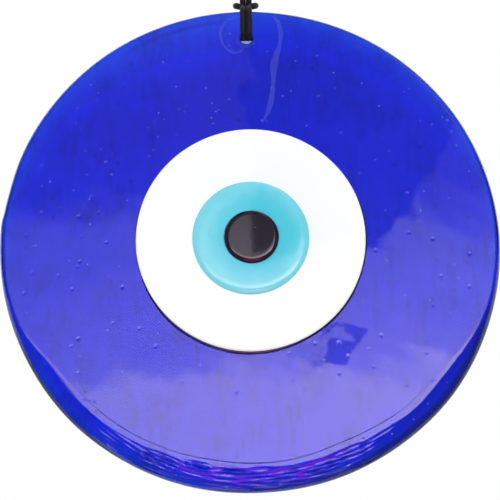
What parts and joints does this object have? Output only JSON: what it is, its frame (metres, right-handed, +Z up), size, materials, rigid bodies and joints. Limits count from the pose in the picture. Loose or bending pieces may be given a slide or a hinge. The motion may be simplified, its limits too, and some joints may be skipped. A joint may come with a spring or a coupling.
{
  "type": "hanging glass evil eye ornament",
  "caption": "Round domed glass disc with a white, a light blue and a dark layer fused on its middle as an eye, hung by a doubled cord hitched through a hole near its edge.",
  "frame": {"origin": "the middle of the nail that the cord's loop hangs on", "axes": "+Z up, the eye looks along -Y, +X is on the right of a person who faces the eye, and the disc balances in the plane Y = 0"},
  "size_m": [0.15, 0.0133, 0.2089],
  "materials": {
    "cobalt_glass": "gloss",
    "white_glass": "gloss",
    "light_blue_glass": "gloss",
    "dark_glass": "gloss",
    "black_cord": "matte"
  },
  "bodies": {
    "nail_knot": {"end_knot": "black_cord", "cord_tails": "black_cord"},
    "strands": {"left_strand": "black_cord", "right_strand": "black_cord"},
    "hitch": {"hitch_knot": "black_cord"},
    "disc": {"glass_body": "cobalt_glass", "white_layer": "white_glass", "light_blue_layer": "light_blue_glass", "pupil": "dark_glass", "left_hitch_leg": "black_cord", "right_hitch_leg": "black_cord"}
  },
  "joints": [
    {"name": "side_swing", "type": "hinge", "parent": "nail_knot", "child": "strands", "pos_m": [0, 0, 0], "axis": [0, 1, 0], "range_deg": [-30, 30]},
    {"name": "cord_twist", "type": "hinge", "parent": "strands", "child": "hitch", "pos_m": [0, 0, -0.0393], "axis": [0, 0, 1], "range_deg": [-120, 120]},
    {"name": "disc_tip", "type": "hinge", "parent": "hitch", "child": "disc", "pos_m": [0, 0, -0.042], "axis": [1, 0, 0], "range_deg": [-35, 35]}
  ]
}
